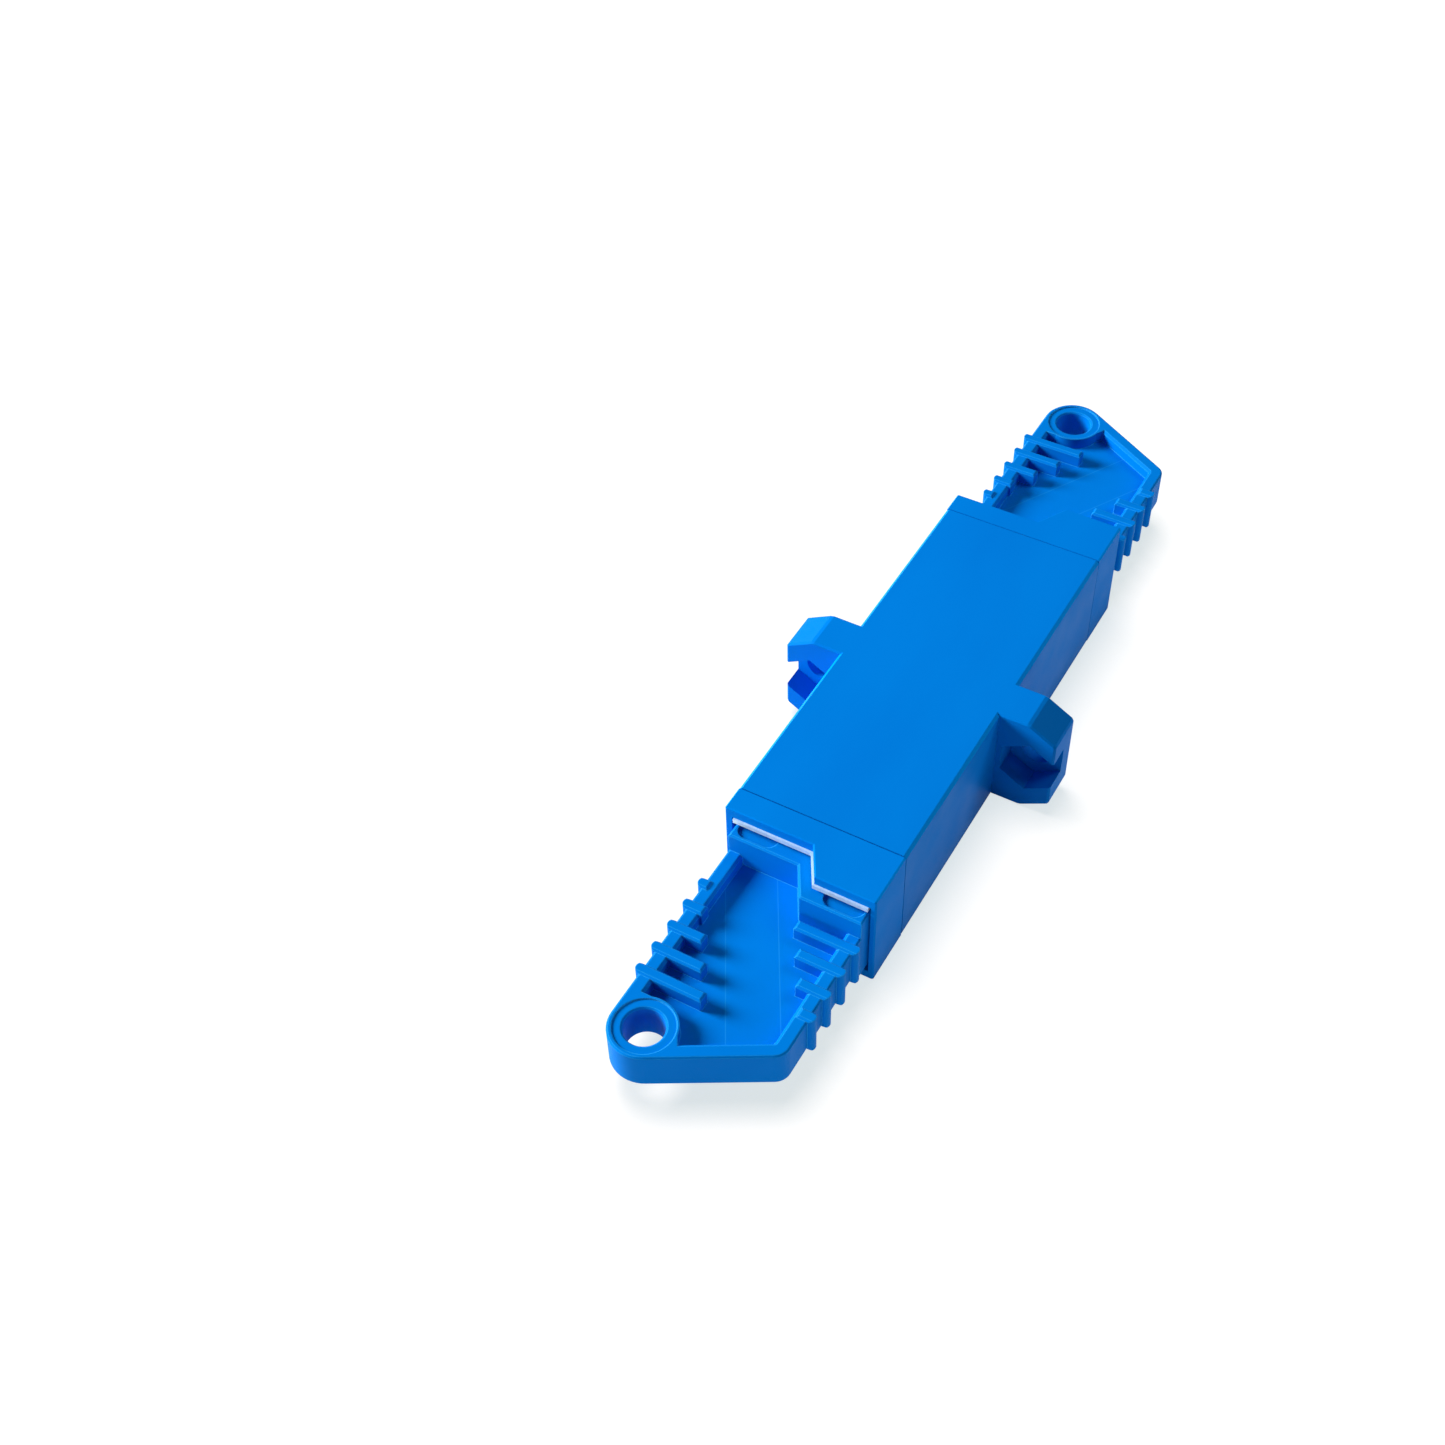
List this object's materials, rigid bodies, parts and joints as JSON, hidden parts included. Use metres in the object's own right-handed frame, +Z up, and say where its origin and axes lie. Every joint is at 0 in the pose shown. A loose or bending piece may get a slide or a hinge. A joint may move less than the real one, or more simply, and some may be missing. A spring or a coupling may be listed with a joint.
{
  "type": "latching fibre adapter",
  "caption": "Blue latching fibre adapter with a two-ear flange, shuttered stepped mouths, a ceramic alignment sleeve and a ribbed pull-out dust plug in each end.",
  "frame": {"origin": "under the middle of the adapter, on the plane of the housing's underside", "axes": "+X along the fibre axis, the way the nut pockets face; +Y to the longer half of each mouth; +Z up, from the underside to the face with the mouth plates"},
  "size_m": [0.0752, 0.022, 0.0088],
  "materials": {
    "housing_plastic": "satin moulded",
    "plug_plastic": "satin moulded",
    "holder_plastic": "moulded",
    "spring_steel": "bright rolled sheet",
    "ceramic": "polished white ceramic"
  },
  "bodies": {
    "housing": {"main_housing": "housing_plastic", "alignment_sleeve": "ceramic", "end_frame_a": "housing_plastic", "mouth_plate_a": "spring_steel", "sleeve_holder_a": "holder_plastic", "end_frame_b": "housing_plastic", "mouth_plate_b": "spring_steel", "sleeve_holder_b": "holder_plastic"},
    "plug_a": {"dust_plug_a": "plug_plastic"},
    "shutter_a": {"shutter_a": "spring_steel"},
    "plug_b": {"dust_plug_b": "plug_plastic"},
    "shutter_b": {"shutter_b": "spring_steel"}
  },
  "joints": [
    {"name": "plug_a_slide", "type": "slide", "parent": "housing", "child": "plug_a", "axis": [-1, 0, 0], "range_m": [0, 0.016]},
    {"name": "shutter_a_swing", "type": "hinge", "parent": "housing", "child": "shutter_a", "pos_m": [-0.01575, 0, 0.00722], "axis": [0, 1, 0], "range_deg": [0, 75]},
    {"name": "plug_b_slide", "type": "slide", "parent": "housing", "child": "plug_b", "axis": [1, 0, 0], "range_m": [0, 0.016]},
    {"name": "shutter_b_swing", "type": "hinge", "parent": "housing", "child": "shutter_b", "pos_m": [0.01575, 0, 0.00722], "axis": [0, -1, 0], "range_deg": [0, 75]}
  ],
  "couplings": [
    {"joint": "shutter_a_swing", "follows": "plug_a_slide", "rad_per_m": 81.8},
    {"joint": "shutter_b_swing", "follows": "plug_b_slide", "rad_per_m": 81.8}
  ]
}
